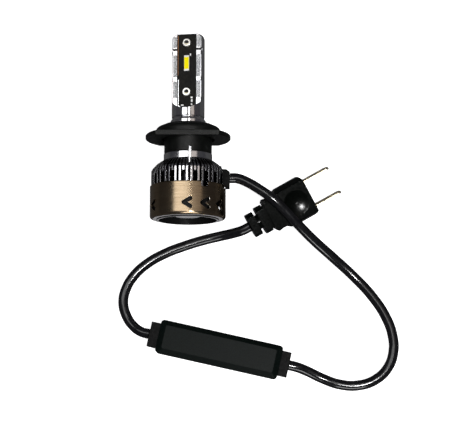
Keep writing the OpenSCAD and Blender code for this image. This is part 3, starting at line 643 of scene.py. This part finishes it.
# Arrow slots: their height over the shroud's end in millimetres, their angles round it in degrees, and
# half their sizes in millimetres
ARROW_HEIGHT = 5
ARROW_FIRST = 0.5
ARROW_PITCH = 28
ARROWS_IN_GROUP = 3
GROUP_PITCH = 120
ARROW_HALF_W = 0.9
ARROW_HALF_LENGTH = 1.4
ARROW_HALF_SPREAD = 1.7
# Their painted highlights run from a lip just over the coating to a little way inside the slot, in
# millimetres
LIP_REACH, LIP_LIFT = 0.13, 0.012
INNER_REACH, INNER_DEPTH = 0.02, 0.1


def arrow_outline(half_w):
    """Outline of an arrow slot: two round-ended arms that meet in a point."""
    tip = Vector((-ARROW_HALF_LENGTH, 0))
    ends = [Vector((ARROW_HALF_LENGTH, y)) for y in (ARROW_HALF_SPREAD, -ARROW_HALF_SPREAD)]
    arm = (ends[0] - tip).normalized()
    slope = math.atan2(arm.y, arm.x)

    def arc(centre, start, stop, steps=10):
        angles = [start + (stop - start) * k / steps for k in range(steps + 1)]
        return [centre + half_w * Vector((math.cos(a), math.sin(a))) for a in angles]

    quarter = math.pi / 2
    inner_corner = tip + Vector((half_w / math.sin(slope), 0))
    return (arc(ends[0], slope - quarter, slope + quarter) + arc(tip, slope + quarter, 3 * quarter - slope)
            + arc(ends[1], -slope - quarter, -slope + quarter) + [inner_corner])


def slot_edges():
    """Thin bright chamfers of painted highlight round the slots."""
    verts, faces = [], []
    loops = [(arrow_outline(ARROW_HALF_W + LIP_REACH), SHROUD_R + LIP_LIFT),
             (arrow_outline(ARROW_HALF_W - INNER_REACH), SHROUD_R - INNER_DEPTH)]
    count = len(loops[0][0])
    angles = [math.radians(group + ARROW_FIRST + ARROW_PITCH * k)
              for group in range(0, 360, GROUP_PITCH) for k in range(ARROWS_IN_GROUP)]
    for angle in angles:
        start = len(verts)
        for outline, radius in loops:
            for point in outline:
                turn = angle + point.x / SHROUD_R
                height = SHROUD_END + ARROW_HEIGHT + point.y
                verts.append((radius * math.sin(turn), height, radius * math.cos(turn)))
        faces += [(start + i, start + (i + 1) % count, start + count + (i + 1) % count, start + count + i)
                  for i in range(count)]
    add_piece("slot_edges", verts, faces, "slot_edge")


slot_edges()

# ---------- painted reflections on the rims at the fan's end ---

# Radii, and how far the rings lie off the CAD's faces, in millimetres
LIP_RADII = (13.6, 15.2)
FRAME_RIM_RADII = (12.65, 13.35)
RIM_LIFT = 0.02
RIM_CROWN = 0.03


def end_ring(name, radii, cad_end, steps=96):
    """A slightly crowned pale ring of painted reflection round the lamp's axis, just off the CAD's end
    face.
    """
    inner, outer = radii
    height = cad_end - RIM_LIFT
    profile = [(inner, height), ((inner + outer) / 2, height - RIM_CROWN), (outer, height)]
    verts = [(r * math.sin(2 * math.pi * k / steps), y, r * math.cos(2 * math.pi * k / steps))
             for r, y in profile for k in range(steps)]
    faces = []
    for k in range(steps):
        after = (k + 1) % steps
        faces += [(ring + k, ring + after, ring + steps + after, ring + steps + k) for ring in (0, steps)]
    add_piece(name, verts, faces, "silver_paint")


end_ring("lip_reflection", LIP_RADII, SHROUD_END)
end_ring("frame_rim", FRAME_RIM_RADII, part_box("fan_frame")[0][1] / MM)

# ---------- table and light ----------

TABLE_Z = cad_box[0][2]
TABLE_HALF = 3.0
TABLE_GLOW = 0.86
WHITE = (1, 1, 1, 1)
# What reflections meet in place of the white table and of the white beyond it
DIM_TABLE = (0.07, 0.07, 0.072, 1)
DIM_ROOM = (0.042, 0.042, 0.047, 1)
LAMP_CENTRE = Vector((0, 0, 0))


def camera_sees(tree, seen, otherwise, output):
    """Shows one shader to the camera and another to reflections and bounced light."""
    mix = tree.nodes.new("ShaderNodeMixShader")
    path = tree.nodes.new("ShaderNodeLightPath")
    tree.links.new(path.outputs["Is Camera Ray"], mix.inputs["Fac"])
    tree.links.new(otherwise, mix.inputs[1])
    tree.links.new(seen, mix.inputs[2])
    tree.links.new(mix.outputs["Shader"], output.inputs["Surface"])


def table():
    """A pale sheet that glows for the camera, so that shadows stay faint, and is dim in reflections."""
    mesh = bpy.data.meshes.new("table")
    corners = [(x * TABLE_HALF, y * TABLE_HALF, TABLE_Z) for x, y in ((-1, -1), (1, -1), (1, 1), (-1, 1))]
    mesh.from_pydata(corners, [], [(0, 1, 2, 3)])
    obj = bpy.data.objects.new("table", mesh)
    bpy.context.scene.collection.objects.link(obj)
    paper = Surface("pale paper", 0.9)
    paper.colour(paper.noise(40, 3), [(0.3, (0.93, 0.93, 0.93)), (0.7, (0.96, 0.96, 0.96))])
    paper.set(Emission_Color=WHITE, Emission_Strength=TABLE_GLOW)
    dim = paper.add("ShaderNodeBsdfDiffuse")
    dim.inputs["Color"].default_value = DIM_TABLE
    camera_sees(paper.tree, seen=paper.shader.outputs["BSDF"], otherwise=dim.outputs["BSDF"],
                output=paper.tree.nodes["Material Output"])
    mesh.materials.append(paper.material)


def softbox(name, direction, distance, size, radiance, colour=(1, 1, 1)):
    """A rectangular light of a given radiance and size in metres, facing the lamp from a direction."""
    data = bpy.data.lights.new(name, "AREA")
    data.shape = "RECTANGLE"
    data.size, data.size_y = size
    data.energy = radiance * math.pi * size[0] * size[1]
    data.color = colour
    obj = bpy.data.objects.new(name, data)
    obj.location = LAMP_CENTRE + distance * Vector(direction).normalized()
    obj.rotation_euler = Vector(direction).to_track_quat("Z", "Y").to_euler()
    bpy.context.scene.collection.objects.link(obj)


table()
softbox("main softbox", direction=(-0.31, 0.1, 0.95), distance=1.1, size=(0.36, 0.9), radiance=2.5)
softbox("warm softbox", direction=(0.33, 0.1, 0.93), distance=1.1, size=(0.3, 1.0), radiance=0.45,
        colour=(1.0, 0.88, 0.8))
softbox("cable light", direction=(0.128, 0.256, 0.958), distance=1.0, size=(0.07, 0.07), radiance=16)
softbox("end light", direction=(0.1, -0.9, 0.35), distance=1.2, size=(0.6, 0.3), radiance=7.0)
softbox("key light", direction=(0.18, -0.222, 0.957), distance=1.0, size=(0.1, 0.1), radiance=200)


def studio_world():
    """Pale behind the table for the camera, dim in reflections."""
    world = bpy.data.worlds.new("studio")
    world.use_nodes = True
    tree = world.node_tree
    dim = tree.nodes["Background"]
    dim.inputs["Color"].default_value = DIM_ROOM
    pale = tree.nodes.new("ShaderNodeBackground")
    pale.inputs["Color"].default_value = WHITE
    camera_sees(tree, seen=pale.outputs["Background"], otherwise=dim.outputs["Background"],
                output=tree.nodes["World Output"])
    bpy.context.scene.world = world


studio_world()
bpy.context.scene.view_settings.view_transform = "Standard"
bpy.context.scene.view_settings.look = "None"
